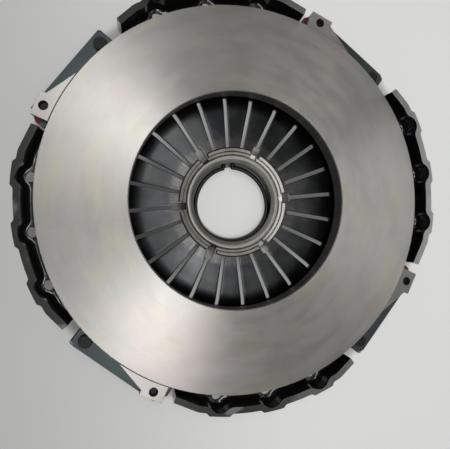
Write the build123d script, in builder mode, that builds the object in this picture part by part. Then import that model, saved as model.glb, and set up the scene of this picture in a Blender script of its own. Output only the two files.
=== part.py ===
from build123d import *
import os
from math import cos, isclose, radians, sin, tan

# Pull-type diaphragm clutch cover assembly, in millimetres.
# Origin: centre of the cover's back. +Z points to the flywheel. Four bolt groups lie on +X, +Y, -X and -Y.

# ---------------------------------------------------------------- driving dimensions
GROUPS = 4                      # bolt groups, lugs and strap packs
QUARTER = 360 / GROUPS

RIM_HEIGHT = 72.0               # cover back to the rim land that meets the flywheel
RIM_R = 237.5                   # turned centring diameter of the rim
SHEET = 7.0                     # pressed steel of the cover

# cover, radii measured in from the rim
BOLT_INSET = 12.5               # bolt circle
BOLT_HOLE_R = 5.5
BOLT_PITCH = 15.0               # degrees between the three bolts of a group
LOBE_R = 11.5                   # scallop round each bolt
LOBE_LAND = 3.3                 # rim land left outside a scallop
WALL_INSET = 10.1               # inner face of the rim wall between scallops
WAVE_R = 10.0                   # blend between scallop and wall
FLAT_ANGLE = 34.0               # straight end of a segment: direction of its normal
FLAT_INSET = 16.2               # and its distance in from the rim
SEGMENT_START = -28.0           # degrees from the middle bolt
SEGMENT_END = 26.5
SHELF_DEPTH = 25.0              # rim land down to the shelf under the bolts
FOOT_R = 5.0                    # inner radius at the foot of the rim wall
DOME_INSET = 31.5               # inner face of the dome wall
BEND_R = 4.0                    # inner radius of the dome's two bends
BACK_HOLE_R = 140.0
SILL_DROP = 1.5                 # window sill below the underside of the shelf
JOIN = 0.5                      # overlap of the turned section with the shelf

# pressure plate
FACE_DROP = 7.0                 # friction face below the rim land, clutch off the flywheel
PLATE_INSET = 20.5              # outer edge of the plate, in from the rim
PLATE_BORE_R = 122.0
PLATE_T = 21.0                  # at the bore
PLATE_SWELL = 3.0               # extra thickness at the foot of the ridge
PLATE_SHOULDER_T = 14.0         # thickness just inside the thin rim
SHOULDER_SLOPE = 2.0            # width of the step up to the thin rim
PLATE_DOME_GAP = 2.0            # plate shoulder to dome wall
PLATE_TRAVEL = 5.4              # clamping stroke plus lift
TRAVEL_GAP = 0.6                # plate rim to straps at the end of the travel
RIDGE_INSET = 65.5              # fulcrum ridge, in from the rim
RIDGE_HALF_W = 3.5
RIDGE_FOOT_W = 8.5
RIDGE_ROUND = 3.0               # radius of its crest
RIB_COUNT = 24
RIB_T = 6.0
RIB_DEPTH = 8.0
RIB_START = 6.0                 # from the bore
EDGE_CHAMFER = 1.0

# lugs and drive straps
LUG_ANGLE = 56.25
LUG_HOLE_INSET = 9.0
LUG_HOLE_R = 5.0
LUG_W = 26.0
LUG_EDGE = 8.3                  # lug hole to the lug's outer edge
LUG_SIDE = 5.5                  # length of the lug's short side
LUG_TAPER = 13.0                # degrees over which the lug runs out into the plate
LUG_OVERRUN = 1.0               # lug outline past the edges it merges with
LUG_FACE_DROP = 2.5             # lug face below the friction face
STRAP_ANGLE = 33.2              # rivet
STRAP_RIVET_INSET = 11.5
LEAF_T = 1.0
LEAVES = 4
LEAF_W = 23.0
LEAF_RIVET_END = 12.0           # leaf beyond the rivet
LEAF_LUG_END = 18.0             # leaf beyond the lug bolt
LEAF_CHAMFER = 5.0
LEAF_TIP = (9.0, 13.0)          # cut corner at the free end: along, across
TAB_MARGIN = 1.2                # cover tab beyond the leaf's edge
TAB_REACH = 13.0                # cover tab beyond the rivet
TAB_CORNER_R = 3.0
RIVET_R = 5.0
RIVET_HEAD_R = 7.5
RIVET_HEAD_T = 3.5
RIVET_CHAMFER = 1.2
BOLT_R = 4.9
BOLT_HEAD_R = 9.2
BOLT_HEAD_T = 6.4
BOLT_END_DROP = 5.0             # bolt end below the lug face
WASHER_R = 10.5
WASHER_T = 2.0
HOLE_GAP = 0.3                  # leaf and washer holes round a shank

# diaphragm spring
SPRING_EDGE_GAP = 3.0           # spring edge to dome wall
SPRING_T = 5.0
SPRING_CONE = 10.0              # degrees
CONE_W = 87.0                   # spring's edge in to where the fingers turn back towards the cover
FINGER_DIP = 7.5                # degrees
FINGERS = 24
SLOT_OVERRUN = 8.0              # slots past the fingers' bend
SLOT_W = 4.5
SLOT_PHASE = -3.75
TIP_R = 54.0
NOTCHES = 6                     # wide notches at every fourth slot
NOTCH_W = 9.0
NOTCH_R = 74.0
FULCRUM_EDGE = 4.0              # fulcrum ring, in from the spring's edge
FULCRUM_WIRE_R = 3.0
FULCRUM_SEAT = 1.5              # depth of its groove in the cover
SEAT_GAP = 0.1                  # shanks in their holes, thrust ring on its sleeve
GROOVE_GAP = 0.3                # wire rings in their grooves
CONTACT_GAP = 0.3               # rolling contacts of the spring

# release ring and its retainers
RELEASE_BORE_R = 47.7
SLEEVE_T = 4.8
SLEEVE_END = 3.0                # end of the sleeve above the cover back
CREST_R = 54.5
CREST_RISE = 7.0                # crest above the spring
CREST_W = 2.0
CREST_FOOT_W = 3.0              # crest down to the channel behind it
MOUTH_DROP = 5.0                # crest down to the edge of the bore
CHANNEL_R = 60.0                # outer side of the channel behind the crest
CHANNEL_RISE = 3.5
TAB_R = 65.7
TAB_RISE = 5.5
TAB_SLOPE = 1.0                 # channel to the top of a tab
TAB_CHAMFER = 1.5
TAB_GAP_W = 13.0                # gap between two hooked tabs
GAP_SLOT_W = 8.0                # deeper slot in the middle of a gap, over the spring's notch
GAP_SLOT_R = 56.5
SNAP_WIRE_R = 2.5
SNAP_R = 47.0                   # the arc of the wire that is seated in its groove
SNAP_ARM_R = 43.0               # its two arms, bowed in to hold the bearing
SNAP_SEAT = 57.5                # half of the seated arc, degrees
SNAP_HEIGHT = 15.0
SNAP_ANGLE = 86.0               # opening of the wire
SNAP_GAP = 7.0                  # half of the opening, degrees
SNAP_WINDOW_W = 18.0
SNAP_END_R = 51.5
THRUST_R = 64.0
THRUST_T = 4.5

# ---------------------------------------------------------------- worked-out places
face_z = RIM_HEIGHT - FACE_DROP
shelf_top = RIM_HEIGHT - SHELF_DEPTH
shelf_bottom = shelf_top - SHEET
sill_z = shelf_bottom - SILL_DROP
bolt_r = RIM_R - BOLT_INSET
lobe_centre_r = RIM_R - LOBE_LAND - LOBE_R
wall_r = RIM_R - WALL_INSET
flat_r = RIM_R - FLAT_INSET
dome_r = RIM_R - DOME_INSET
dome_mid = dome_r + SHEET / 2
bend_mid = BEND_R + SHEET / 2
shelf_join_r = dome_mid + bend_mid + JOIN
plate_r = RIM_R - PLATE_INSET
back_z = face_z - PLATE_T
shoulder_r = dome_r - PLATE_DOME_GAP
ridge_r = RIM_R - RIDGE_INSET
spring_r = dome_r - SPRING_EDGE_GAP
bend_r = spring_r - CONE_W
slot_r = bend_r + SLOT_OVERRUN
fulcrum_r = spring_r - FULCRUM_EDGE
fulcrum_z = SHEET - FULCRUM_SEAT + FULCRUM_WIRE_R
lug_hole_r = RIM_R - LUG_HOLE_INSET
rivet_r = RIM_R - STRAP_RIVET_INSET
pack_top = shelf_top + LEAVES * LEAF_T
tab_outer = LEAF_W / 2 + TAB_MARGIN
tab_inner = LEAF_W / 2
tab_back = LEAF_RIVET_END + TAB_MARGIN
lug_face_z = face_z - LUG_FACE_DROP
FAR = 2 * RIM_R


def polar(radius, angle):
    return radius * cos(radians(angle)), radius * sin(radians(angle))


def spring_top(radius):
    """Height of the spring's flywheel side: a cone, with fingers that dip towards their tips."""
    lift = (FULCRUM_WIRE_R + CONTACT_GAP + SPRING_T) / cos(radians(SPRING_CONE))
    cone = fulcrum_z + lift + (fulcrum_r - max(radius, bend_r)) * tan(radians(SPRING_CONE))
    return cone - max(0.0, bend_r - radius) * tan(radians(FINGER_DIP))


def spring_bottom(radius):
    slope = SPRING_CONE if radius >= bend_r else FINGER_DIP
    return spring_top(radius) - SPRING_T / cos(radians(slope))


def radial_plane(angle, height):
    """x points outwards at this angle, y the way the angle grows."""
    return Plane(origin=(0, 0, height), x_dir=(*polar(1, angle), 0), z_dir=(0, 0, 1))


def strap_plane(turn, height):
    """From the rivet straight to the lug bolt: x along the strap, y towards the axis."""
    start = Vector(*polar(rivet_r, STRAP_ANGLE + turn), height)
    finish = Vector(*polar(lug_hole_r, LUG_ANGLE + turn), height)
    return Plane(origin=start, x_dir=finish - start, z_dir=(0, 0, 1))


turns = [QUARTER * i for i in range(GROUPS)]
bolt_angles = [turn + place for turn in turns for place in (-BOLT_PITCH, 0, BOLT_PITCH)]
strap_length = (Vector(*polar(rivet_r, STRAP_ANGLE)) - Vector(*polar(lug_hole_r, LUG_ANGLE))).length

os.makedirs("parts", exist_ok=True)


# ---------------------------------------------------------------- cover
def rim_outline(grow):
    """Plan of the rim wall: its inner face, or a face that lies further out by grow."""
    with BuildSketch(mode=Mode.PRIVATE) as outline:
        Circle(wall_r + grow)
        for side in (FLAT_ANGLE, -FLAT_ANGLE):
            with PolarLocations(flat_r + grow + SHEET * 2, GROUPS, start_angle=side):
                Rectangle(SHEET * 4, FAR / 2, mode=Mode.SUBTRACT)
        fillet(outline.vertices(), radius=WAVE_R + grow)
        with Locations(*[radial_plane(angle, 0) * Pos(lobe_centre_r, 0) for angle in bolt_angles]):
            Circle(LOBE_R + grow)
        fillet(outline.vertices(Select.LAST), radius=WAVE_R - grow)
    return outline.sketch


with BuildSketch(mode=Mode.PRIVATE) as segments:
    # plan of the four rim segments
    for turn in turns:
        with BuildLine():
            Polyline(
                (0, 0),
                polar(FAR, turn + SEGMENT_START),
                polar(FAR, turn),
                polar(FAR, turn + SEGMENT_END),
                close=True,
            )
        make_face()

with BuildSketch(mode=Mode.PRIVATE) as tabs:
    # plan of the tabs that carry the straps
    for turn in turns:
        with BuildSketch(strap_plane(turn, 0), mode=Mode.PRIVATE) as tab:
            with Locations(((TAB_REACH - tab_back) / 2, (tab_inner - tab_outer) / 2)):
                RectangleRounded(TAB_REACH + tab_back, tab_inner + tab_outer, TAB_CORNER_R)
        add(tab.sketch)

with BuildPart() as cover:
    # shelf and scalloped rim wall
    with BuildSketch(Plane.XY.offset(shelf_bottom)):
        add(rim_outline(SHEET))
        Circle(shelf_join_r, mode=Mode.SUBTRACT)
    extrude(amount=SHELF_DEPTH + SHEET)
    with BuildSketch(Plane.XY.offset(shelf_top)):
        add(rim_outline(0))
    extrude(amount=SHELF_DEPTH, mode=Mode.SUBTRACT)
    shelf_faces = cover.faces().filter_by(Axis.Z).filter_by_position(Axis.Z, shelf_bottom, shelf_top)
    inner_foot = shelf_faces.sort_by(Axis.Z)[-1].outer_wire().edges()
    outer_foot = shelf_faces.sort_by(Axis.Z)[0].outer_wire().edges()
    fillet(inner_foot, radius=FOOT_R)
    fillet(outer_foot, radius=FOOT_R + SHEET)
    # the rim is turned to its centring diameter
    with BuildSketch(Plane.XY.offset(shelf_bottom)):
        Circle(FAR / 2 + SHEET)
        Circle(RIM_R, mode=Mode.SUBTRACT)
    extrude(amount=SHELF_DEPTH + SHEET, mode=Mode.SUBTRACT)
    # the strap tabs reach past the wall's foot
    with BuildSketch(Plane.XY.offset(shelf_bottom)):
        add(tabs.sketch)
        Circle(shelf_join_r, mode=Mode.SUBTRACT)
    extrude(amount=SHEET)
    # back, dome wall and the start of the shelf, one pressed section
    with BuildSketch(Plane.XZ):
        with BuildLine():
            FilletPolyline(
                (BACK_HOLE_R, SHEET / 2),
                (dome_mid, SHEET / 2),
                (dome_mid, shelf_bottom + SHEET / 2),
                (shelf_join_r + JOIN, shelf_bottom + SHEET / 2),
                radius=bend_mid,
            )
        trace(line_width=SHEET)
    revolve(axis=Axis.Z)
    # windows between the segments, for the lugs and the moving ends of the straps
    with BuildSketch(Plane.XY.offset(sill_z)):
        Circle(FAR / 2 + SHEET)
        add(segments.sketch, mode=Mode.SUBTRACT)
        add(tabs.sketch, mode=Mode.SUBTRACT)
    extrude(amount=RIM_HEIGHT, mode=Mode.SUBTRACT)
    with BuildSketch(Plane.XY.offset(shelf_top)):
        add(tabs.sketch)
        add(segments.sketch, mode=Mode.SUBTRACT)
    extrude(amount=RIM_HEIGHT, mode=Mode.SUBTRACT)
    # holes for the flywheel bolts and the strap rivets, groove for the fulcrum ring
    with BuildSketch(Plane.XY.offset(shelf_bottom)):
        with Locations(*[polar(bolt_r, angle) for angle in bolt_angles]):
            Circle(BOLT_HOLE_R)
        with PolarLocations(rivet_r, GROUPS, start_angle=STRAP_ANGLE):
            Circle(RIVET_R)
    extrude(amount=SHEET, mode=Mode.SUBTRACT)
    with BuildSketch(Plane.XZ):
        with Locations((fulcrum_r, fulcrum_z)):
            Circle(FULCRUM_WIRE_R + GROOVE_GAP)
    revolve(axis=Axis.Z, mode=Mode.SUBTRACT)

cover.part.label = "cover"
export_step(cover.part, "parts/cover.step")

with BuildPart() as fulcrum_ring:
    with BuildSketch(Plane.XZ):
        with Locations((fulcrum_r, fulcrum_z)):
            Circle(FULCRUM_WIRE_R)
    revolve(axis=Axis.Z)

fulcrum_ring.part.label = "cover_fulcrum_ring"
export_step(fulcrum_ring.part, "parts/cover_fulcrum_ring.step")

# ---------------------------------------------------------------- pressure plate
ridge_z = spring_top(ridge_r) + CONTACT_GAP
rim_under_z = pack_top + PLATE_TRAVEL + TRAVEL_GAP

with BuildPart() as pressure_plate:
    with BuildSketch(Plane.XZ) as plate_section:
        with BuildLine():
            Polyline(
                (PLATE_BORE_R, face_z),
                (PLATE_BORE_R, back_z),
                (ridge_r - RIDGE_FOOT_W, back_z - PLATE_SWELL),
                (ridge_r - RIDGE_HALF_W, ridge_z),
                (ridge_r + RIDGE_HALF_W, ridge_z),
                (ridge_r + RIDGE_FOOT_W, back_z),
                (shoulder_r, face_z - PLATE_SHOULDER_T),
                (shoulder_r + SHOULDER_SLOPE, rim_under_z),
                (plate_r, rim_under_z),
                (plate_r, face_z),
                close=True,
            )
        make_face()
        crest = plate_section.vertices().group_by(Axis.Y)[0]
        fillet(crest, radius=RIDGE_ROUND)
    revolve(axis=Axis.Z)
    # radial ribs between the bore and the ridge
    with BuildSketch(Plane.XY.offset(back_z - RIB_DEPTH)):
        rib_inner = PLATE_BORE_R + RIB_START
        with PolarLocations((rib_inner + ridge_r) / 2, RIB_COUNT, start_angle=QUARTER / 2):
            Rectangle(ridge_r - rib_inner, RIB_T)
    extrude(amount=RIB_DEPTH + JOIN)
    # lugs: a square head over the strap bolt, tapering back into the plate's edge
    for turn in turns:
        with BuildSketch(radial_plane(LUG_ANGLE + turn, pack_top)):
            with BuildLine():
                head = lug_hole_r + LUG_EDGE
                neck = head - LUG_SIDE
                run_x, run_y = polar(plate_r + LUG_OVERRUN, -LUG_TAPER)
                Polyline(
                    (shoulder_r + LUG_OVERRUN, LUG_W / 2),
                    (head, LUG_W / 2),
                    (head, -LUG_W / 2),
                    (neck, -LUG_W / 2),
                    (run_x, run_y),
                    (shoulder_r + LUG_OVERRUN, run_y),
                    close=True,
                )
            make_face()
        extrude(amount=lug_face_z - pack_top)
    with BuildSketch(Plane.XY.offset(pack_top)):
        with PolarLocations(lug_hole_r, GROUPS, start_angle=LUG_ANGLE):
            Circle(LUG_HOLE_R)
    extrude(amount=lug_face_z - pack_top, mode=Mode.SUBTRACT)
    round_faces = pressure_plate.faces().filter_by(GeomType.CYLINDER)
    bore = round_faces.filter_by(lambda face: isclose(face.radius, PLATE_BORE_R))
    chamfer(bore.edges().filter_by(GeomType.CIRCLE), length=EDGE_CHAMFER)

pressure_plate.part.label = "pressure_plate"
export_step(pressure_plate.part, "parts/pressure_plate.step")

# ---------------------------------------------------------------- diaphragm spring
with BuildPart() as spring:
    with BuildSketch(Plane.XZ):
        with BuildLine():
            Polyline(
                (spring_r, spring_top(spring_r)),
                (bend_r, spring_top(bend_r)),
                (TIP_R, spring_top(TIP_R)),
                (TIP_R, spring_bottom(TIP_R)),
                (bend_r, spring_bottom(bend_r)),
                (spring_r, spring_bottom(spring_r)),
                close=True,
            )
        make_face()
    revolve(axis=Axis.Z)
    with BuildSketch(Plane.XY):
        with PolarLocations(slot_r / 2, FINGERS, start_angle=SLOT_PHASE):
            Rectangle(slot_r, SLOT_W)
        with PolarLocations(NOTCH_R / 2, NOTCHES, start_angle=SLOT_PHASE):
            Rectangle(NOTCH_R, NOTCH_W)
    extrude(amount=RIM_HEIGHT, mode=Mode.SUBTRACT)

spring.part.label = "diaphragm_spring"
export_step(spring.part, "parts/diaphragm_spring.step")

# ---------------------------------------------------------------- drive straps
for number, turn in enumerate(turns, start=1):
    for layer in range(LEAVES):
        with BuildPart() as leaf:
            with BuildSketch(strap_plane(turn, shelf_top + layer * LEAF_T)):
                half = LEAF_W / 2
                end = strap_length + LEAF_LUG_END
                with BuildLine():
                    Polyline(
                        (-LEAF_RIVET_END, half - LEAF_CHAMFER),
                        (-LEAF_RIVET_END + LEAF_CHAMFER, half),
                        (end, half),
                        (end, LEAF_TIP[1] - half),
                        (end - LEAF_TIP[0], -half),
                        (-LEAF_RIVET_END + LEAF_CHAMFER, -half),
                        (-LEAF_RIVET_END, LEAF_CHAMFER - half),
                        close=True,
                    )
                make_face()
                with Locations((0, 0)):
                    Circle(RIVET_R, mode=Mode.SUBTRACT)
                with Locations((strap_length, 0)):
                    Circle(BOLT_R + HOLE_GAP, mode=Mode.SUBTRACT)
            extrude(amount=LEAF_T)
        name = f"drive_strap_{number}_leaf_{layer + 1}"
        leaf.part.label = name
        export_step(leaf.part, f"parts/{name}.step")

with BuildPart() as rivets:
    with BuildSketch(Plane.XY.offset(shelf_bottom - RIVET_HEAD_T)):
        with PolarLocations(rivet_r, GROUPS, start_angle=STRAP_ANGLE):
            Circle(RIVET_HEAD_R)
    extrude(amount=RIVET_HEAD_T)
    with BuildSketch(Plane.XY.offset(pack_top)):
        with PolarLocations(rivet_r, GROUPS, start_angle=STRAP_ANGLE):
            Circle(RIVET_HEAD_R)
    extrude(amount=RIVET_HEAD_T)
    head_rims = rivets.edges().group_by(Axis.Z)
    chamfer(head_rims[0] + head_rims[-1], length=RIVET_CHAMFER)
    with BuildSketch(Plane.XY.offset(shelf_bottom)):
        with PolarLocations(rivet_r, GROUPS, start_angle=STRAP_ANGLE):
            Circle(RIVET_R - SEAT_GAP)
    extrude(amount=pack_top - shelf_bottom)

rivets.part.label = "strap_rivets"
export_step(rivets.part, "parts/strap_rivets.step")

with BuildPart() as washers:
    with BuildSketch(Plane.XY.offset(shelf_top - WASHER_T)):
        with PolarLocations(lug_hole_r, GROUPS, start_angle=LUG_ANGLE):
            Circle(WASHER_R)
            Circle(BOLT_R + HOLE_GAP, mode=Mode.SUBTRACT)
    extrude(amount=WASHER_T)

washers.part.label = "lug_bolt_washers"
export_step(washers.part, "parts/lug_bolt_washers.step")

with BuildPart() as lug_bolts:
    with BuildSketch(Plane.XY.offset(shelf_top - WASHER_T - BOLT_HEAD_T)):
        with PolarLocations(lug_hole_r, GROUPS, start_angle=LUG_ANGLE):
            RegularPolygon(BOLT_HEAD_R, side_count=6)
    extrude(amount=BOLT_HEAD_T)
    with BuildSketch(Plane.XY.offset(shelf_top - WASHER_T)):
        with PolarLocations(lug_hole_r, GROUPS, start_angle=LUG_ANGLE):
            Circle(BOLT_R)
    extrude(amount=lug_face_z - BOLT_END_DROP - shelf_top + WASHER_T)
    chamfer(lug_bolts.edges().group_by(Axis.Z)[-1], length=EDGE_CHAMFER)

lug_bolts.part.label = "lug_bolts"
export_step(lug_bolts.part, "parts/lug_bolts.step")

# ---------------------------------------------------------------- release ring
sleeve_r = RELEASE_BORE_R + SLEEVE_T
crest_z = spring_top(CREST_R) + CREST_RISE
channel_z = spring_top(CHANNEL_R) + CHANNEL_RISE
tab_z = spring_top(TAB_R) + TAB_RISE
groove_w = 2 * (SNAP_WIRE_R + GROOVE_GAP)
window_h = 2 * (SNAP_WIRE_R + SEAT_GAP)

with BuildPart() as release_ring:
    # sleeve with the snap ring's groove in its bore, crest, channel and the hooked rim behind them
    with BuildSketch(Plane.XZ):
        with BuildLine():
            Polyline(
                (RELEASE_BORE_R, SLEEVE_END),
                (sleeve_r, SLEEVE_END),
                (sleeve_r, spring_top(sleeve_r) + CONTACT_GAP),
                (TAB_R, spring_top(TAB_R) + CONTACT_GAP),
                (TAB_R, tab_z - TAB_CHAMFER),
                (TAB_R - TAB_CHAMFER, tab_z),
                (CHANNEL_R + TAB_SLOPE, tab_z),
                (CHANNEL_R, channel_z),
                (CREST_R + CREST_FOOT_W, channel_z),
                (CREST_R + CREST_W / 2, crest_z),
                (CREST_R - CREST_W / 2, crest_z),
                (RELEASE_BORE_R, crest_z - MOUTH_DROP),
                close=True,
            )
        make_face()
        with Locations((SNAP_R, SNAP_HEIGHT)):
            Rectangle(groove_w, groove_w, mode=Mode.SUBTRACT)
    revolve(axis=Axis.Z)
    # six gaps part the rim into tabs, each with a slot over a notch of the spring
    with BuildSketch(Plane.XY.offset(SLEEVE_END)):
        with PolarLocations(GAP_SLOT_R + TAB_R / 2, NOTCHES, start_angle=SLOT_PHASE):
            Rectangle(TAB_R, GAP_SLOT_W)
        with PolarLocations(CHANNEL_R + JOIN + TAB_R / 2, NOTCHES, start_angle=SLOT_PHASE):
            Rectangle(TAB_R, TAB_GAP_W)
    extrude(amount=RIM_HEIGHT, mode=Mode.SUBTRACT)
    # window for the two bent ends of the snap ring
    with BuildSketch(radial_plane(SNAP_ANGLE, SNAP_HEIGHT - window_h / 2)):
        with Locations((sleeve_r - SLEEVE_T / 2, 0)):
            Rectangle(SLEEVE_T * 2, SNAP_WINDOW_W)
    extrude(amount=window_h, mode=Mode.SUBTRACT)

release_ring.part.label = "release_ring"
export_step(release_ring.part, "parts/release_ring.step")

with BuildPart() as thrust_ring:
    with BuildSketch(Plane.XZ):
        with BuildLine():
            Polyline(
                (sleeve_r + SEAT_GAP, spring_bottom(TIP_R) - CONTACT_GAP - THRUST_T),
                (sleeve_r + SEAT_GAP, spring_bottom(TIP_R) - CONTACT_GAP),
                (TIP_R, spring_bottom(TIP_R) - CONTACT_GAP),
                (THRUST_R, spring_bottom(THRUST_R) - CONTACT_GAP),
                (THRUST_R, spring_bottom(TIP_R) - CONTACT_GAP - THRUST_T / 2),
                (THRUST_R - THRUST_T / 2, spring_bottom(TIP_R) - CONTACT_GAP - THRUST_T),
                close=True,
            )
        make_face()
    revolve(axis=Axis.Z)

thrust_ring.part.label = "release_thrust_ring"
export_step(thrust_ring.part, "parts/release_thrust_ring.step")

with BuildPart() as snap_ring:
    with BuildLine(Plane.XY.offset(SNAP_HEIGHT)) as snap_path:
        # bent end, bowed arm, seated arc, and the same the other way
        first = SNAP_ANGLE + SNAP_GAP
        last = SNAP_ANGLE - SNAP_GAP + 360
        seat_first = SNAP_ANGLE + 180 - SNAP_SEAT
        seat_last = SNAP_ANGLE + 180 + SNAP_SEAT
        Line(polar(SNAP_END_R, first), polar(SNAP_ARM_R, first))
        ThreePointArc(
            polar(SNAP_ARM_R, first),
            polar(SNAP_ARM_R, (first + seat_first) / 2),
            polar(SNAP_R, seat_first),
        )
        CenterArc((0, 0), SNAP_R, seat_first, 2 * SNAP_SEAT)
        ThreePointArc(
            polar(SNAP_R, seat_last),
            polar(SNAP_ARM_R, (last + seat_last) / 2),
            polar(SNAP_ARM_R, last),
        )
        Line(polar(SNAP_ARM_R, last), polar(SNAP_END_R, last))
    with BuildSketch(Plane(origin=snap_path.line @ 0, z_dir=snap_path.line % 0)):
        Circle(SNAP_WIRE_R)
    sweep(transition=Transition.ROUND)

snap_ring.part.label = "bearing_snap_ring"
export_step(snap_ring.part, "parts/bearing_snap_ring.step")
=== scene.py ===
from math import atan2, cos, pi, radians, sin, tan

import bmesh
import bpy
from bpy.props import FloatProperty, FloatVectorProperty, IntProperty, PointerProperty
from mathutils import Matrix, Vector


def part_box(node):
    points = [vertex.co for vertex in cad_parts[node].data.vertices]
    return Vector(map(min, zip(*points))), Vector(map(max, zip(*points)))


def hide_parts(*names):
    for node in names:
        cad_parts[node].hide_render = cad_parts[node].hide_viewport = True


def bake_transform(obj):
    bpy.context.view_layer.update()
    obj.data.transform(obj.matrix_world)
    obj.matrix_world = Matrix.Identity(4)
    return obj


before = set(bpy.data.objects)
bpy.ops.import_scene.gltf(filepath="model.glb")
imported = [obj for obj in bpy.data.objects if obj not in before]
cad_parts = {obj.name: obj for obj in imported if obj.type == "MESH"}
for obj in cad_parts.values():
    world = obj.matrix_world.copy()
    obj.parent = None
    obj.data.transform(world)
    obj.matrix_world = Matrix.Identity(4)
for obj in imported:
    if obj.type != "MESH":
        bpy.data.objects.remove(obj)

bl_info = {
    "name": "Clutch Pressure Plate",
    "version": (1, 0, 0),
    "blender": (4, 5, 0),
    "location": "View3D > Sidebar > Clutch",
    "description": "Finishes and flexing parts of a diaphragm clutch cover assembly",
    "category": "Object",
}

# Heights and outer edges of the CAD nodes, in metres.
FACE_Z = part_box("pressure_plate")[1].z
LAND_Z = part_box("cover")[1].z
RIM_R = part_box("cover")[1].x
SPRING_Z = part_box("diaphragm_spring")[1].z
SPRING_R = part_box("diaphragm_spring")[1].x

# Edges of the CAD nodes that their boxes don't give.
FACE_BORE_R = 0.122          # inner edge of the friction face
FACE_RIM_R = 0.217           # outer edge of the friction face
LUG_DROP = 0.0025            # from the friction face down to the lugs' faces
CREST_R = 0.053              # highest line of the release ring
MOUTH_R = 0.052              # edge of the release ring's bore
TABS_R = 0.057               # inner edge of the collar's tabs
DAB_ANGLE = radians(60.6)    # direction of the first strap's cut corner

# Rows of the spring's sectors, by radius, apart from those among its settings.
RIM_ROWS = (0.192, 0.185, 0.178)
CONE_ROWS = (0.158, 0.145, 0.134)
FINGER_ROWS = (0.108, 0.1, 0.092, 0.084)
TIP_ROWS = (0.067, 0.060)
ROW_SLACK = 0.0002           # how far a row's corners may stray from its radius
SECTOR_STEPS = 6             # faces across one sector
NOTCH_EVERY = 4              # one slot in so many ends in a wide notch

STRAPS = 4
BEND_STEPS = 16              # faces along a strap between its holes
HOLE_FRAME = 1.45            # half the square of faces round a hole, in rivet hole radii
HOLE_SIDES = 24

SMOOTH_BELOW = radians(35)   # faces that meet at less are shaded as one
CORNER = radians(50)         # faces that meet at more make a corner to round off
MERGE = 1e-6                 # points nearer than this are one


# ---------------------------------------------------------------- shader maths
class Wire:
    """A number, colour or vector on its way to a shader. Expressions on wires add Math nodes."""

    def __init__(self, finish, socket):
        self.finish = finish
        self.socket = socket

    def maths(self, operation, *values):
        """A Math node on any numbers and wires."""
        return self.finish.add("ShaderNodeMath", {"operation": operation}, dict(enumerate(values)))

    def __add__(self, other):
        return self.maths("ADD", self, other)

    def __radd__(self, other):
        return self.maths("ADD", other, self)

    def __sub__(self, other):
        return self.maths("SUBTRACT", self, other)

    def __rsub__(self, other):
        return self.maths("SUBTRACT", other, self)

    def __mul__(self, other):
        return self.maths("MULTIPLY", self, other)

    def __rmul__(self, other):
        return self.maths("MULTIPLY", other, self)

    def __pow__(self, other):
        return self.maths("POWER", self, other)

    def __rpow__(self, other):
        return self.maths("POWER", other, self)

    def __or__(self, other):
        """Two masks as one: the larger value."""
        return self.maths("MAXIMUM", self, other)

    def __ror__(self, other):
        return self.maths("MAXIMUM", other, self)

    def __abs__(self):
        return self.maths("ABSOLUTE", self)


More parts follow.
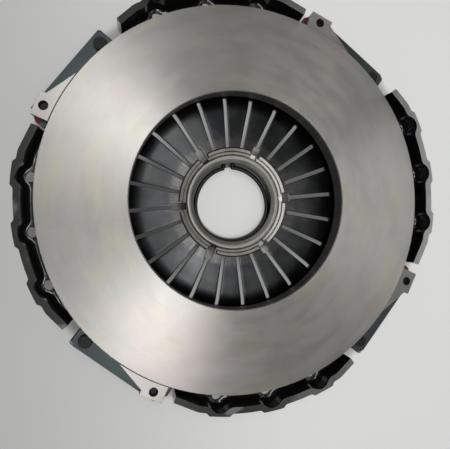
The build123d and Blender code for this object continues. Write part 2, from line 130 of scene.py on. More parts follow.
class Finish:
    """A material round one Principled shader, with the object's own coordinates at hand."""

    def __init__(self, name, **constants):
        self.material = bpy.data.materials.new(name)
        self.material.use_nodes = True
        self.tree = self.material.node_tree
        self.tree.nodes.clear()
        self.shader = self.tree.nodes.new("ShaderNodeBsdfPrincipled")
        output = self.tree.nodes.new("ShaderNodeOutputMaterial")
        self.tree.links.new(self.shader.outputs[0], output.inputs["Surface"])
        self.set(**constants)
        self.place = self.add("ShaderNodeTexCoord", out="Object")
        self.x, self.y, self.z = (self.axis(self.place, index) for index in range(3))
        self.up = self.axis(self.add("ShaderNodeTexCoord", out="Normal"), 2)
        self.radius = self.reach()
        self.angle = self.y.maths("ARCTAN2", self.y, self.x)

    def set(self, **values):
        """Feeds the shader's sockets: names as on the node, with _ for a space."""
        for name, value in values.items():
            self.feed(self.shader.inputs[name.replace("_", " ")], value)

    def feed(self, socket, value):
        """Links a wire to a socket, or sets a constant on it."""
        if isinstance(value, Wire):
            self.tree.links.new(value.socket, socket)
        elif socket.type == "RGBA":
            socket.default_value = (*value[:3], 1.0)
        else:
            socket.default_value = value

    def add(self, kind, settings=None, values=None, out=0):
        """Adds a node: its settings first, then what its sockets take."""
        node = self.tree.nodes.new(kind)
        for name, value in (settings or {}).items():
            setattr(node, name, value)
        for name, value in (values or {}).items():
            self.feed(node.inputs[name], value)
        return Wire(self, node.outputs[out])

    def axis(self, vector, index):
        """X, Y or Z of a vector."""
        return self.add("ShaderNodeSeparateXYZ", values={0: vector}, out=index)

    def vector(self, x, y, z):
        """A vector from three numbers."""
        return self.add("ShaderNodeCombineXYZ", values={0: x, 1: y, 2: z})

    def reach(self, x=0.0, y=0.0):
        """Distance from the upright line through a place."""
        across, along = self.x - x, self.y - y
        return (across * across + along * along) ** 0.5

    def ease(self, value, low, high):
        """0 below low, 1 above high, and smooth between."""
        return self.add(
            "ShaderNodeMapRange",
            {"interpolation_type": "SMOOTHSTEP"},
            {"Value": value, "From Min": low, "From Max": high},
        )

    def band(self, value, middle, half, soft):
        """1 within half of the middle, falling to 0 over soft."""
        return 1 - self.ease(abs(value - middle), half, half + soft)

    def level(self):
        """1 on faces that look up, 0 on slopes and walls."""
        return self.ease(self.up, 0.6, 0.9)

    def noise(self, scale, detail=3.0, vector=None):
        """Cloudy pattern, with scale patches to the metre."""
        values = {"Vector": vector or self.place, "Scale": scale, "Detail": detail}
        return self.add("ShaderNodeTexNoise", values=values)

    def turned(self, across, along, detail=3.0, lift=0.0):
        """Pattern drawn out round the axis, as a lathe leaves it."""
        return self.noise(1.0, detail, self.vector(self.radius * across, self.angle * along, lift))

    def mix(self, under, over, factor):
        """Two colours. A Mix node takes them at sockets 6 and 7, and gives them at output 2."""
        values = {"Factor": factor, 6: under, 7: over}
        return self.add("ShaderNodeMix", {"data_type": "RGBA"}, values, out=2)

    def blend(self, low, high, factor):
        """Two numbers."""
        return low + (high - low) * factor

    def quarter_angle(self, middle):
        """Angle from the nearest of the four places at middle, middle + 90 degrees and so on."""
        return self.angle.maths("WRAP", self.angle - middle, -pi / 4, pi / 4)

    def bump(self, height, strength, distance, normal=None):
        """Fine relief, over the given shading normal if there is one."""
        values = {"Height": height, "Strength": strength, "Distance": distance}
        if normal:
            values["Normal"] = normal
        return self.add("ShaderNodeBump", values=values)

    def lean(self, height, normal=None):
        """Shades a surface as if its height changed as given, in metres."""
        return self.bump(height, 1.0, 1.0, normal)

    def rounded(self, radius):
        """Shades sharp edges as if they were rounded."""
        return self.add("ShaderNodeBevel", {"samples": 4}, {"Radius": radius})

    def shown(self):
        """1 for rays that show a background: straight, mirrored or through glass."""
        straight, mirrored, through = (
            self.add("ShaderNodeLightPath", out=ray)
            for ray in ("Is Camera Ray", "Is Glossy Ray", "Is Transmission Ray")
        )
        return straight | mirrored | through


class Room(Finish):
    """The world: even light, with pale walls that show but don't light anything."""

    def __init__(self, name, stage):
        self.world = bpy.data.worlds.new(name)
        self.world.use_nodes = True
        self.tree = self.world.node_tree
        self.shader = self.tree.nodes["Background"]
        steepness = self.axis(self.add("ShaderNodeTexCoord", out="Generated"), 2)
        walls = (1 - self.ease(steepness, 0.40, 0.66)) * self.shown()
        self.set(Color=stage.sky_colour, Strength=self.blend(stage.sky, stage.walls, walls))


# ---------------------------------------------------------------- finishes
def turned_iron():
    """Friction ring and lugs: turned and milled iron over a dark, rough casting."""
    look = bpy.context.scene.clutch_finishes
    f = Finish("machined_iron", Anisotropic=0.75, Anisotropic_Rotation=0.25)

    # Faces and walls that a tool has cut, and a painted shadow in the step round the friction
    # face.
    flat = f.level()
    lug_z = FACE_Z - LUG_DROP
    face = flat * f.ease(f.z, FACE_Z - 0.0006, FACE_Z - 0.0003)
    lug = flat * f.ease(f.z, lug_z - 0.0006, lug_z - 0.0003) * (1 - face)
    cut = face | lug
    bore = f.band(f.radius, FACE_BORE_R, 0.0012, 0.0004)
    outer = f.ease(f.radius, FACE_RIM_R - 0.0015, FACE_RIM_R - 0.0005)
    wall = (bore | outer) * (1 - cut)
    step = f.band(f.radius, FACE_RIM_R + 0.0002, 0.0013, 0.0004) * (1 - face)

    # Tool marks, scuffs, clouds and stains.
    rings = f.turned(2600, 1.5, 2.0)
    scuffs = f.ease(f.turned(70, 3.0, lift=4.0), 0.35, 0.75)
    clouds = f.noise(9.0)
    mottle = f.noise(60.0, 4.0)
    warm = f.ease(f.noise(9.0, vector=f.vector(f.x + 3.1, f.y, f.z)), 0.48, 0.68)
    straw = f.ease(f.turned(34, 2.2, lift=13.0), 0.50, 0.68)

    shade = 0.84 + clouds * 0.16 + (rings - 0.5) * 0.12 + (mottle - 0.5) * 0.16 + scuffs * 0.13
    # Painted shade: the lugs past 0.13 m towards +X are darkened by up to 45 percent.
    painted_lug_shade = lug * f.ease(f.x, 0.13, 0.18)
    metal = f.mix(look.iron, look.iron_warm, warm * 0.9)
    metal = f.mix(metal, look.iron_straw, straw * 0.8)
    metal = f.mix((0, 0, 0), metal, shade * (1 - painted_lug_shade * 0.45))
    skin = f.mix(look.casting, look.casting_dark, f.noise(120.0, 5.0))
    bored = f.mix(look.bored, look.bored_dark, mottle)
    surface = f.mix(f.mix(skin, bored, wall), metal, cut)

    polish = 0.37 + (rings - 0.5) * 0.08 + (clouds - 0.5) * 0.10 + (scuffs - 0.5) * 0.03
    height = f.blend(f.noise(260.0, 5.0), rings * 0.12, cut)
    f.set(
        Base_Color=f.mix(surface, look.step_shadow, step),
        Roughness=f.blend(f.blend(0.72, 0.42, wall), polish, cut),
        Metallic=f.blend(0.55, 1.0, cut | wall),
        Normal=f.bump(height, 0.35, 0.0004, f.rounded(0.0006)),
    )
    return f.material


def black_paint():
    """Pressed cover: glossy black paint, with the rim land and its centring edge turned bare."""
    look = bpy.context.scene.clutch_finishes
    f = Finish("black_paint", Coat_Roughness=0.06)
    land = f.ease(f.z, LAND_Z - 0.0004, LAND_Z - 0.0002) * f.level()
    bare = land | f.ease(f.radius, RIM_R - 0.0004, RIM_R - 0.0002)
    dust = f.ease(f.noise(40.0, 5.0), 0.45, 0.8)
    grain = f.turned(3000, 2.0, 2.0)
    # Painted light: the rim land is made paler towards +X.
    painted_light_side = f.ease(f.x, 0.02, 0.20)
    # Dark smear patches on the rim land, kept to the -X side, where they also serve as painted
    # shade.
    smear_and_shade_side = 1 - f.ease(f.x, -0.05, 0.12)
    smear_and_shade = f.ease(f.noise(14.0, 5.0, f.vector(f.x, f.y, 0)), 0.40, 0.47) * smear_and_shade_side
    paint = f.mix(look.paint, look.paint_dust, dust * 0.35)
    metal = f.mix(look.land, look.land_painted_light, painted_light_side)
    metal = f.mix(metal, look.land_mottle, f.noise(50.0, 4.0) * 0.6)
    metal = f.mix(metal, look.land_smear_and_shade, smear_and_shade * 0.9)
    f.set(
        Base_Color=f.mix(paint, metal, bare),
        Metallic=bare * 0.9,
        Roughness=f.blend(0.20 + dust * 0.15, 0.34 + grain * 0.10, bare),
        Coat_Weight=(1 - bare) * 0.9,
        Normal=f.bump(f.noise(900.0, 2.0), 0.08, 0.0002, f.rounded(0.0008)),
    )
    return f.material


def spring_steel():
    """Diaphragm spring: dark shot-peened steel, ground lighter at the fingers' ends."""
    look = bpy.context.scene.clutch_finishes
    f = Finish("spring_steel")
    ragged = f.radius + (f.noise(120.0) - 0.5) * 0.008
    ground = 1 - f.ease(ragged, 0.074, 0.080)
    streaks = f.turned(60, 60, lift=f.z * 10)
    patches = f.noise(28.0, 4.0)
    dark = f.mix(look.spring, look.spring_light, f.ease(patches, 0.35, 0.7) * 0.6)
    light = f.mix(look.spring_ground, look.spring, f.ease(streaks, 0.35, 0.75) * 0.7)
    f.set(
        Base_Color=f.mix(dark, light, ground),
        Metallic=0.95,
        Roughness=f.blend(0.27 + patches * 0.12, 0.27 + streaks * 0.12, ground),
        Normal=f.bump(f.noise(900.0), 0.12, 0.0002, f.lean(f.radius * -0.24)),
    )
    return f.material


def strap_steel():
    """Blued spring strip, with a dab of marking paint on the cut corner of each strap."""
    look = bpy.context.scene.clutch_finishes
    f = Finish("strap_steel")
    ragged = f.radius + f.noise(300.0) * 0.004
    dab = f.band(f.quarter_angle(DAB_ANGLE), 0.0, 0.012, 0.004) * f.ease(ragged, 0.2285, 0.2295)
    grain = f.noise(1.0, 3.0, f.vector(f.x * 40, f.y * 40, f.z * 2500))
    steel = f.mix(look.strap, look.strap_light, f.noise(35.0, 4.0))
    f.set(
        Base_Color=f.mix(steel, look.marking, dab),
        Metallic=0.9 - dab * 0.85,
        Roughness=f.blend(0.34 + grain * 0.15, 0.5, dab),
        Normal=f.bump(grain, 0.10, 0.0002),
    )
    return f.material


def fastener_steel():
    """Rivets, bolts and washers: dull zinc flake."""
    look = bpy.context.scene.clutch_finishes
    f = Finish("fastener_steel")
    flake = f.noise(700.0)
    f.set(
        Base_Color=f.mix(look.fastener, look.fastener_dark, flake),
        Metallic=0.9,
        Roughness=0.42 + flake * 0.15,
        Normal=f.bump(flake, 0.15, 0.0003, f.rounded(0.0005)),
    )
    return f.material


def forged_steel():
    """Release ring: hardened steel, turned, with a smoother crest under a painted highlight,
    painted highlights on the tabs towards +X, and painted shade in the bore.
    """
    look = bpy.context.scene.clutch_finishes
    f = Finish("forged_steel", Anisotropic=0.3)
    # Painted highlight: the crest is made bright and less metallic, so it looks lit from every
    # side.
    crest = f.band(f.radius, CREST_R, 0.0010, 0.0008) * f.ease(f.up, 0.3, 0.8)
    # Painted shade: the ring's bore is made near black and half as metallic.
    bore = (1 - f.ease(f.radius, MOUTH_R - 0.001, MOUTH_R)) * (1 - f.ease(f.up, 0.15, 0.35))
    tabs = f.ease(f.radius, TABS_R - 0.0002, TABS_R + 0.0002)
    # Painted highlight: this mask makes the tabs bright towards +X.
    rubbed = tabs * f.blend(0.10, 0.95, f.ease(f.x, 0.02, 0.045))
    rings = f.turned(3500, 2.0, 2.0, f.z * 3500)
    oil = f.ease(f.noise(70.0, 4.0), 0.4, 0.75)
    steel = f.mix(look.release, look.release_dark, oil * 0.7)
    steel = f.mix(steel, look.release_highlight, rubbed)
    steel = f.mix(steel, look.release_highlight, crest)
    tilt = f.lean(f.radius * 0.13 * tabs, f.rounded(0.0003))
    f.set(
        Base_Color=f.mix(steel, look.release_bore_shade, bore),
        Metallic=1.0 - bore * 0.5 - crest * 0.5,
        Roughness=0.36 + rings * 0.06 - crest * 0.10,
        Normal=f.bump(rings, 0.06, 0.0002, tilt),
    )
    return f.material


def wire_steel():
    """Snap ring and fulcrum ring: drawn wire, dark and oiled."""
    look = bpy.context.scene.clutch_finishes
    f = Finish("wire_steel")
    drawn = f.noise(500.0)
    f.set(
        Base_Color=f.mix(look.wire, look.wire_rubbed, drawn),
        Metallic=0.95,
        Roughness=0.32 + drawn * 0.12,
        Normal=f.bump(drawn, 0.08, 0.0002),
    )
    return f.material


def dress(node, finish):
    """Gives a CAD node its finish."""
    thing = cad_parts[node]
    thing.data.materials.clear()
    thing.data.materials.append(finish)


# ---------------------------------------------------------------- mesh helpers
def link(name, bm, finish):
    """Turns a bmesh into an object at the origin."""
    mesh = bpy.data.meshes.new(name)
    bm.to_mesh(mesh)
    bm.free()
    mesh.materials.append(finish)
    thing = bpy.data.objects.new(name, mesh)
    bpy.context.scene.collection.objects.link(thing)
    return thing


def make_piece(name, bm, finish):
    """Makes a piece that is shaded smooth but for its sharp edges."""
    bmesh.ops.remove_doubles(bm, verts=bm.verts, dist=MERGE)
    bmesh.ops.recalc_face_normals(bm, faces=bm.faces)
    for face in bm.faces:
        face.smooth = True
    for edge in bm.edges:
        edge.smooth = len(edge.link_faces) == 2 and edge.calc_face_angle() < SMOOTH_BELOW
    piece = link(name, bm, finish)
    return piece


def slice_at(bm, point, normal, geom=None, **clear):
    """Cuts the mesh, or the given part of it, with a plane."""
    geom = geom or bm.verts[:] + bm.edges[:] + bm.faces[:]
    bmesh.ops.bisect_plane(bm, geom=geom, dist=1e-7, plane_co=point, plane_no=normal, **clear)


def thicken(bm, drop):
    """Closes a sheet into a plate by drawing a copy of it down."""
    made = bmesh.ops.extrude_face_region(bm, geom=bm.faces[:], use_keep_orig=True)
    lower = [v for v in made["geom"] if isinstance(v, bmesh.types.BMVert)]
    bmesh.ops.translate(bm, verts=lower, vec=(0, 0, -drop))
    bmesh.ops.recalc_face_normals(bm, faces=bm.faces)


def corners(bm, thickness):
    """Sharp edges of a plate's two faces, without the upright ones that join them."""
    return [
        e
        for e in bm.edges
        if len(e.link_faces) == 2
        and e.calc_face_angle() > CORNER
        and abs(e.verts[0].co.z - e.verts[1].co.z) < thickness / 2
    ]


def soften(bm, edges, width, segments=2):
    """Rounds edges off."""
    bmesh.ops.bevel(
        bm,
        geom=edges,
        offset=width,
        offset_type="OFFSET",
        segments=segments,
        profile=0.5,
        affect="EDGES",
        material=-1,
        clamp_overlap=True,
    )


def ring_radius(point):
    """Distance from the axis."""
    return Vector((point.x, point.y)).length


def outward(turn):
    """Level direction at an angle from +X."""
    return Vector((cos(turn), sin(turn), 0))


# ---------------------------------------------------------------- settings
# Each takes the name and the description that the panel shows, and the default.
def length(name, description, default):
    return FloatProperty(name=name, description=description, default=default, unit="LENGTH")


def angle(name, description, degrees):
    return FloatProperty(
        name=name, description=description, default=radians(degrees), subtype="ANGLE"
    )


def colour(name, description, default):
    return FloatVectorProperty(
        name=name, description=description, default=default,
        size=3, subtype="COLOR", min=0.0, max=1.0,
    )


def light_level(name, description, default):
    return FloatProperty(name=name, description=description, default=default, min=0.0)


class ClutchSpring(bpy.types.PropertyGroup):
    fingers: IntProperty(
        name="Fingers", description="Fingers round the spring", default=24, min=3
    )
    cone: angle("Cone", "Slope of the spring's outer part", 10)
    dip: angle("Finger dip", "Slope of the fingers past their bend", 7.5)
    bend: length("Bend radius", "Where the fingers turn back", 0.116)
    thickness: length("Thickness", "Sheet thickness, measured upright", 0.00506)
    slot_end: length("Slot end radius", "Outer end of the slots", 0.124)
    slot_width: length("Slot width", "Gap between fingers", 0.0045)
    slot_phase: angle("First slot", "Direction of the first slot", -3.75)
    notch_end: length("Notch end radius", "Outer end of the wide notches", 0.074)
    notch_width: length("Notch width", "Width of every fourth slot near the tips", 0.009)
    tip: length("Tip radius", "Inner ends of the fingers", 0.054)
    ridge: length("Ridge radius", "Where the pressure plate bears", 0.172)
    fulcrum: length("Fulcrum radius", "Where the spring turns on the cover", 0.199)
    edge_break: length("Edge break", "Rounding along the fingers", 0.0005)


class ClutchStraps(bpy.types.PropertyGroup):
    leaves: IntProperty(name="Leaves", description="Leaves in each strap", default=4, min=1)
    thickness: length("Leaf thickness", "Thickness of one leaf", 0.001)
    width: length("Width", "Width of a leaf", 0.023)
    seat: length("Seat height", "Underside of the pack", 0.047)
    rivet_radius: length("Rivet circle", "Radius of the rivets' circle", 0.226)
    rivet_angle: angle("Rivet direction", "Direction of the first rivet", 33.2)
    bolt_radius: length("Lug bolt circle", "Radius of the lug bolts' circle", 0.2285)
    bolt_angle: angle("Lug bolt direction", "Direction of the first lug bolt", 56.25)
    rivet_end: length("Rivet end", "Leaf beyond the rivet", 0.012)
    lug_end: length("Lug end", "Leaf beyond the lug bolt", 0.018)
    corner: length("Corner cut", "Cut corners at the rivet", 0.005)
    tip_cut: FloatVectorProperty(
        name="Tip cut", description="Cut corner at the free end, along and across",
        default=(0.009, 0.013), size=2, subtype="XYZ", unit="LENGTH",
    )
    rivet_hole: length("Rivet hole", "Radius of the hole for the rivet", 0.005)
    bolt_hole: length("Bolt hole", "Radius of the hole for the lug bolt", 0.0052)
    edge_break: length("Edge break", "Rounding along a leaf's outline", 0.00012)


class ClutchFinishes(bpy.types.PropertyGroup):
    iron: colour("Turned iron", "Friction ring and lugs", (0.56, 0.55, 0.52))
    iron_warm: colour("Warm stain", "Reddish cloud on the friction ring", (0.60, 0.54, 0.52))
    iron_straw: colour("Straw stain", "Yellowish cloud on the friction ring", (0.60, 0.58, 0.48))
    bored: colour("Bored wall", "Inner and outer walls of the friction ring", (0.16, 0.158, 0.15))
    bored_dark: colour("Bored wall, dark", "Stains on those walls", (0.10, 0.098, 0.09))
    # Painted shadow: near black for the shade in the step round the friction face.
    step_shadow: colour("Step", "Oiled step round the friction face", (0.015, 0.015, 0.014))
    casting: colour("Casting skin", "Rough back of the pressure plate", (0.09, 0.088, 0.082))
    casting_dark: colour("Casting skin, dark", "Patches of the casting", (0.05, 0.048, 0.045))
    paint: colour("Paint", "Cover", (0.012, 0.013, 0.014))
    paint_dust: colour("Dusty paint", "Handling marks on the cover", (0.045, 0.045, 0.044))
    land: colour("Rim land", "Turned face of the cover's rim", (0.32, 0.32, 0.315))
    # Painted light: the paler colour of the rim land towards +X.
    land_painted_light: colour("Rim land, clean", "Freshly turned stretch of the rim", (0.62, 0.62, 0.60))
    land_mottle: colour("Rim land, mottled", "Duller patches of the rim", (0.20, 0.20, 0.195))
    # Grease smear on the rim, which also serves as painted shade on its -X side.
    land_smear_and_shade: colour("Rim land, smeared", "Grease on the rim", (0.055, 0.055, 0.05))
    spring: colour("Spring", "Dark spring steel", (0.052, 0.055, 0.058))
    spring_light: colour("Spring, rubbed", "Lighter patches of the spring", (0.155, 0.158, 0.16))
    spring_ground: colour("Spring, ground", "Finger ends", (0.14, 0.138, 0.132))
    strap: colour("Strap", "Blued strip", (0.072, 0.092, 0.094))
    strap_light: colour("Strap, rubbed", "Lighter patches of the straps", (0.135, 0.155, 0.155))
    marking: colour("Marking paint", "Dab on the straps' corners", (0.28, 0.015, 0.03))
    fastener: colour("Fasteners", "Rivets, bolts and washers", (0.06, 0.06, 0.058))
    fastener_dark: colour("Fasteners, dark", "Gaps between the flakes", (0.03, 0.03, 0.032))
    release: colour("Release ring", "Hardened steel", (0.30, 0.29, 0.255))
    release_dark: colour("Release ring, dark", "Oil and heat marks", (0.15, 0.145, 0.12))
    # Painted highlight: bright colour on the crest and on the tabs towards +X.
    release_highlight: colour("Release ring, rubbed", "Crest and rubbed tabs", (0.62, 0.61, 0.57))
    # Painted shade: near black for the shadowed inside of the ring.
    release_bore_shade: colour("Release ring, bore", "Oiled inside of the ring", (0.012, 0.012, 0.011))
    wire: colour("Wire rings", "Snap ring and fulcrum ring", (0.028, 0.029, 0.031))
    wire_rubbed: colour("Wire rings, rubbed", "Lighter grains of the wire", (0.065, 0.065, 0.064))


class ClutchStage(bpy.types.PropertyGroup):
    lens: FloatProperty(
        name="Lens", description="Focal length on a 36 mm sensor", default=34.64, unit="CAMERA"
    )
    camera_at: FloatVectorProperty(
        name="Camera place", description="Where the camera stands",
        default=(-0.11385, -0.0086, 0.535), subtype="TRANSLATION", unit="LENGTH",
    )
    camera_turn: FloatVectorProperty(
        name="Camera turn", description="Which way the camera looks",
        default=(-0.001, -0.1963, radians(-9)), subtype="EULER", unit="ROTATION",
    )
    floor_size: length("Floor", "Half the floor's side", 6.0)
    floor_light: colour("Floor, light", "Floor on the bright side", (0.74, 0.745, 0.72))
    floor_shade: colour("Floor, shaded", "Floor on the dim side", (0.46, 0.46, 0.455))
    floor_glow: light_level("Floor glow", "Own light of the floor, seen only", 0.54)
    sky_colour: colour("Room colour", "Colour of the even light", (1.0, 1.0, 0.99))
    sky: light_level("Room light", "Even light from all round", 0.13)
    walls: light_level("Walls", "How pale the walls look in the steel", 0.8)


# ---------------------------------------------------------------- the pieces
class CLUTCH_OT_cover(bpy.types.Operator):
    """Finish the pressed cover and its fulcrum ring"""

    bl_idname = "clutch.cover"
    bl_label = "Cover"

    def execute(self, context):
        dress("cover", black_paint())
        dress("cover_fulcrum_ring", wire_steel())
        return {"FINISHED"}


class CLUTCH_OT_plate(bpy.types.Operator):
    """Finish the cast pressure plate"""

    bl_idname = "clutch.plate"
    bl_label = "Pressure plate"

    def execute(self, context):
        dress("pressure_plate", turned_iron())
        return {"FINISHED"}


class CLUTCH_OT_fasteners(bpy.types.Operator):
    """Finish the rivets, bolts and washers"""

    bl_idname = "clutch.fasteners"
    bl_label = "Fasteners"

    def execute(self, context):
        finish = fastener_steel()
        for node in ("strap_rivets", "lug_bolts", "lug_bolt_washers"):
            dress(node, finish)
        return {"FINISHED"}


class CLUTCH_OT_release(bpy.types.Operator):
    """Finish the release ring, its thrust ring and the bearing's snap ring"""

    bl_idname = "clutch.release"
    bl_label = "Release ring"

    def execute(self, context):
        finish = forged_steel()
        dress("release_ring", finish)
        dress("release_thrust_ring", finish)
        dress("bearing_snap_ring", wire_steel())
        return {"FINISHED"}


class CLUTCH_OT_spring(bpy.types.Operator):
    """Build the diaphragm spring as separate sectors"""

    bl_idname = "clutch.spring"
    bl_label = "Diaphragm spring"

    def height(self, radius):
        """Height of the spring's flywheel side: a cone outside the bend, fingers inside it."""
        s = self.size
        if radius > s.bend:
            return SPRING_Z - (radius - s.bend) * tan(s.cone)
        return SPRING_Z - (s.bend - radius) * tan(s.dip)

    def sheet(self, radii, middle):
        """One sector of the spring's flywheel side."""
        bm = bmesh.new()
        verts = [bm.verts.new((r, 0, self.height(r))) for r in radii]
        edges = [bm.edges.new(pair) for pair in zip(verts, verts[1:])]
        turn = Matrix.Rotation(middle - self.pitch / 2, 3, "Z")
        bmesh.ops.rotate(bm, verts=verts, cent=(0, 0, 0), matrix=turn)
        bmesh.ops.spin(
            bm,
            geom=verts + edges,
            cent=(0, 0, 0),
            axis=(0, 0, 1),
            dvec=(0, 0, 0),
            angle=self.pitch,
            steps=SECTOR_STEPS,
            use_merge=False,
            use_normal_flip=False,
            use_duplicate=False,
        )
        return bm

    def cut_slot(self, bm, slot, side, width, end):
        """Takes away one side of a finger, parallel to the slot, up to the slot's end."""
        across = outward(slot + pi / 2) * side

        def inner_rows():
            limit = end + ROW_SLACK
            return [f for f in bm.faces if all(ring_radius(v.co) < limit for v in f.verts)]

        rows = inner_rows()
        edges = dict.fromkeys(e for f in rows for e in f.edges)
        verts = dict.fromkeys(v for f in rows for v in f.verts)
        slice_at(bm, across * width / 2, across, [*verts, *edges, *rows])
        waste = [f for f in inner_rows() if f.calc_center_median().dot(across) < width / 2]
        bmesh.ops.delete(bm, geom=waste, context="FACES")

    def finger(self, index, middle, finish):
        """From the plate's ridge to the tip, with half of each slot and notch beside it."""
        s = self.size
        outer = [s.ridge, *CONE_ROWS, s.slot_end, s.bend]
        inner = [*FINGER_ROWS, s.notch_end, *TIP_ROWS, s.tip]
        bm = self.sheet(outer + inner, middle)
        for side in (1, -1):
            slot = middle - side * self.pitch / 2
            self.cut_slot(bm, slot, side, s.slot_width, s.slot_end)
            if (index + (side < 0)) % NOTCH_EVERY == 0:
                self.cut_slot(bm, slot, side, s.notch_width, s.notch_end)
        thicken(bm, s.thickness)
        free = [
            e
            for e in corners(bm, s.thickness)
            if all(ring_radius(v.co) < s.slot_end + ROW_SLACK for v in e.verts)
        ]
        soften(bm, free, s.edge_break)
        piece = make_piece(f"spring_finger_{index + 1:02d}", bm, finish)
        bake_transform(piece)
        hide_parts("diaphragm_spring")

    def rim(self, index, middle, finish):
        """From the spring's edge over the fulcrum to the plate's ridge."""
        s = self.size
        bm = self.sheet([SPRING_R, s.fulcrum, *RIM_ROWS, s.ridge], middle)
        thicken(bm, s.thickness)
        piece = make_piece(f"spring_rim_{index + 1:02d}", bm, finish)
        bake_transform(piece)
        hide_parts("diaphragm_spring")

    def execute(self, context):
        self.size = context.scene.clutch_spring
        self.pitch = 2 * pi / self.size.fingers
        finish = spring_steel()
        for index in range(self.size.fingers):
            middle = self.size.slot_phase + self.pitch * (index + 0.5)
            self.finger(index, middle, finish)
            self.rim(index, middle, finish)
        return {"FINISHED"}


class CLUTCH_OT_straps(bpy.types.Operator):
    """Build the drive straps' flat leaves"""

    bl_idname = "clutch.straps"
    bl_label = "Drive straps"

    def pierce(self, bm, place, half, radius):
        """Opens a round hole in the sheet: a square of faces makes way for a bridged circle."""
        square = []
        for face in bm.faces:
            centre = face.calc_center_median()
            if abs(centre.x - place) < half and abs(centre.y) < half:
                square.append(face)
        rim = [e for f in square for e in f.edges if sum(g in square for g in e.link_faces) == 1]
        bmesh.ops.delete(bm, geom=square, context="FACES")
        circle = bmesh.ops.create_circle(
            bm,
            cap_ends=False,
            segments=HOLE_SIDES,
            radius=radius,
            matrix=Matrix.Translation((place, 0, 0)),
        )
        hole = dict.fromkeys(e for v in circle["verts"] for e in v.link_edges)
        bmesh.ops.bridge_loops(bm, edges=[*rim, *hole])

    def leaf(self, run):
        """One flat leaf, with its rivet hole at the origin and its bolt hole at run on +X."""
        s = self.size
        half = s.width / 2
        square = s.rivet_hole * HOLE_FRAME
        whole = s.rivet_end + run + s.lug_end
        bm = bmesh.new()
        bmesh.ops.create_grid(bm, x_segments=1, y_segments=1, size=0.5)
        bmesh.ops.scale(bm, verts=bm.verts, vec=(whole, s.width, 1))
        bmesh.ops.translate(bm, verts=bm.verts, vec=(whole / 2 - s.rivet_end, 0, 0))
        stations = [-square, 0, square, run - square, run, run + square]
        stations += [square + (run - 2 * square) * i / BEND_STEPS for i in range(1, BEND_STEPS)]
        for x in stations:
            slice_at(bm, (x, 0, 0), (1, 0, 0))
        for y in (-square, 0, square):
            slice_at(bm, (0, y, 0), (0, 1, 0))

        # Two cut corners at the rivet, and one longer one at the free end.
        back = s.corner - s.rivet_end
        along, across = s.tip_cut
        slice_at(bm, (back, half, 0), (-1, 1, 0), clear_outer=True)
        slice_at(bm, (back, -half, 0), (-1, -1, 0), clear_outer=True)
        slice_at(bm, (run + s.lug_end - along, -half, 0), (across, -along, 0), clear_outer=True)

        self.pierce(bm, 0, square, s.rivet_hole)
        self.pierce(bm, run, square, s.bolt_hole)
        thicken(bm, s.thickness)
        centres = (Vector((0, 0)), Vector((run, 0)))
        outline = [
            e
            for e in corners(bm, s.thickness)
            if all((v.co.xy - c).length > square for v in e.verts for c in centres)
        ]
        soften(bm, outline, s.edge_break, 1)
        return bm

    def execute(self, context):
        self.size = s = context.scene.clutch_straps
        finish = strap_steel()
        for number in range(1, STRAPS + 1):
            turn = 2 * pi / STRAPS * (number - 1)
            rivet = outward(turn + s.rivet_angle) * s.rivet_radius
            bolt = outward(turn + s.bolt_angle) * s.bolt_radius
            run = bolt - rivet
            turned = Matrix.Rotation(atan2(run.y, run.x), 4, "Z")
            for layer in range(1, s.leaves + 1):
                top = Vector((0, 0, s.seat + layer * s.thickness))
                bm = self.leaf(run.length)
                place = Matrix.Translation(rivet + top) @ turned
                bmesh.ops.transform(bm, matrix=place, verts=bm.verts)
                piece = make_piece(f"strap_{number}_leaf_{layer}", bm, finish)
                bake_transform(piece)
                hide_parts(f"drive_strap_{number}_leaf_{layer}")
        return {"FINISHED"}


# ---------------------------------------------------------------- stage
# Place, side and power of each square lamp.
LAMPS = {
    "lamp_far": ((-0.081, 0.403, 1.3), 0.24, 1.35),
    "lamp_far_low": ((-0.081, 0.17, 1.3), 0.16, 0.6),
    "lamp_near_low": ((-0.070, -0.12, 1.3), 0.14, 0.5),
    "lamp_near": ((-0.068, -0.370, 1.3), 0.24, 1.75),
    "lamp_side": ((0.84, -0.13, 1.1), 0.6, 0.66),
    "lamp_low": ((1.10, 0.10, 0.30), 0.3, 0.5),
}
LAMPS_AIM = Vector((0, 0, 0.05))


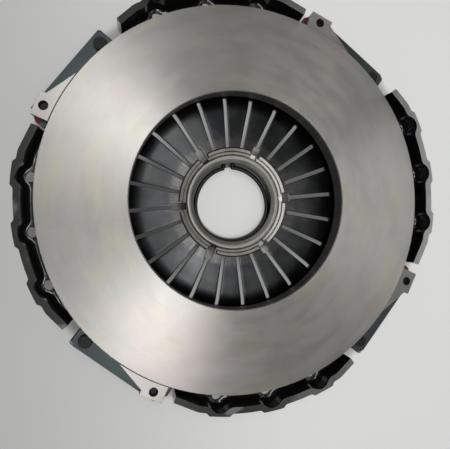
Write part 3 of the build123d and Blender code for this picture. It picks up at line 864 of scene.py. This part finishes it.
class CLUTCH_OT_stage(bpy.types.Operator):
    """Set up the floor, the lamps and the camera"""

    bl_idname = "clutch.stage"
    bl_label = "Stage"

    def floor(self, stage):
        """A pale floor that glows where it is seen, but for the shade under the clutch."""
        f = Finish("floor", Roughness=0.6)
        bright_side = f.ease(f.x * 0.98 - f.y * 0.05, -0.36, 0.10)
        tone = f.mix(stage.floor_shade, stage.floor_light, bright_side)

        # The shade is deepest under the release ring's collar, lighter under the fingers and
        # the rim's bolts, and leaves the bore open. Its circles lie a little to +X of the axis.
        from_rim = f.reach(0.0135, 0.001)
        outside = f.ease(from_rim, 0.250, 0.262)
        bolts = f.ease(from_rim, 0.20, 0.21)
        past_bore = f.ease(f.reach(0.0035), 0.0435, 0.0450)
        collar = 1 - f.ease(f.reach(0.0117, 0.0009), 0.066, 0.069)
        sideways = 1 - f.ease(abs(f.y), 0.045, 0.105)
        fingers = f.blend(0.30, f.blend(0.90, 0.74, f.ease(f.x, -0.12, 0.08)), sideways)
        shade = f.blend(f.blend(fingers, 0.97, collar), 0.70, bolts)
        seen = f.shown() * (1 - past_bore * (1 - outside) * shade)
        glow = f.mix((0, 0, 0), tone, seen)
        f.set(Base_Color=tone, Emission_Color=glow, Emission_Strength=stage.floor_glow)

        bm = bmesh.new()
        bmesh.ops.create_grid(bm, x_segments=1, y_segments=1, size=stage.floor_size)
        link("floor", bm, f.material)

    def lamp(self, name, place, side, power):
        """A soft square lamp, turned to the clutch."""
        light = bpy.data.lights.new(name, "AREA")
        light.size = side
        light.energy = power
        lamp = bpy.data.objects.new(name, light)
        lamp.location = place
        lamp.rotation_mode = "QUATERNION"
        lamp.rotation_quaternion = (LAMPS_AIM - Vector(place)).to_track_quat("-Z", "Y")
        bpy.context.scene.collection.objects.link(lamp)

    def camera(self, stage):
        data = bpy.data.cameras.new("camera")
        data.sensor_width = 36.0
        data.lens = stage.lens
        data.clip_start = 0.01
        camera = bpy.data.objects.new("camera", data)
        camera.location = stage.camera_at
        camera.rotation_euler = stage.camera_turn
        bpy.context.scene.collection.objects.link(camera)
        bpy.context.scene.camera = camera

    def execute(self, context):
        stage = context.scene.clutch_stage
        self.floor(stage)
        for name, (place, side, power) in LAMPS.items():
            self.lamp(name, place, side, power)
        context.scene.world = Room("room", stage).world
        context.scene.view_settings.view_transform = "Standard"
        self.camera(stage)
        return {"FINISHED"}


class CLUTCH_PT_panel(bpy.types.Panel):
    """Pieces and settings of the clutch cover assembly"""

    bl_idname = "CLUTCH_PT_panel"
    bl_label = "Clutch Pressure Plate"
    bl_space_type = "VIEW_3D"
    bl_region_type = "UI"
    bl_category = "Clutch"

    def draw(self, context):
        for operator in OPERATORS:
            self.layout.operator(operator.bl_idname)
        for group in SETTINGS:
            box = self.layout.box()
            box.label(text=group.replace("_", " ").capitalize())
            settings = getattr(context.scene, group)
            for name in settings.__annotations__:
                box.prop(settings, name)


SETTINGS = {
    "clutch_spring": ClutchSpring,
    "clutch_straps": ClutchStraps,
    "clutch_finishes": ClutchFinishes,
    "clutch_stage": ClutchStage,
}
OPERATORS = (
    CLUTCH_OT_cover,
    CLUTCH_OT_plate,
    CLUTCH_OT_fasteners,
    CLUTCH_OT_release,
    CLUTCH_OT_spring,
    CLUTCH_OT_straps,
    CLUTCH_OT_stage,
)


def register():
    for group in SETTINGS.values():
        bpy.utils.register_class(group)
    for operator in OPERATORS:
        bpy.utils.register_class(operator)
    bpy.utils.register_class(CLUTCH_PT_panel)
    for name, group in SETTINGS.items():
        setattr(bpy.types.Scene, name, PointerProperty(type=group))


def unregister():
    for name in SETTINGS:
        delattr(bpy.types.Scene, name)
    bpy.utils.unregister_class(CLUTCH_PT_panel)
    for operator in reversed(OPERATORS):
        bpy.utils.unregister_class(operator)
    for group in reversed(SETTINGS.values()):
        bpy.utils.unregister_class(group)


def main():
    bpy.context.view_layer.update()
    register()
    bpy.ops.clutch.cover()
    bpy.ops.clutch.plate()
    bpy.ops.clutch.fasteners()
    bpy.ops.clutch.release()
    bpy.ops.clutch.spring()
    bpy.ops.clutch.straps()
    bpy.ops.clutch.stage()


if __name__ == "__main__":
    main()
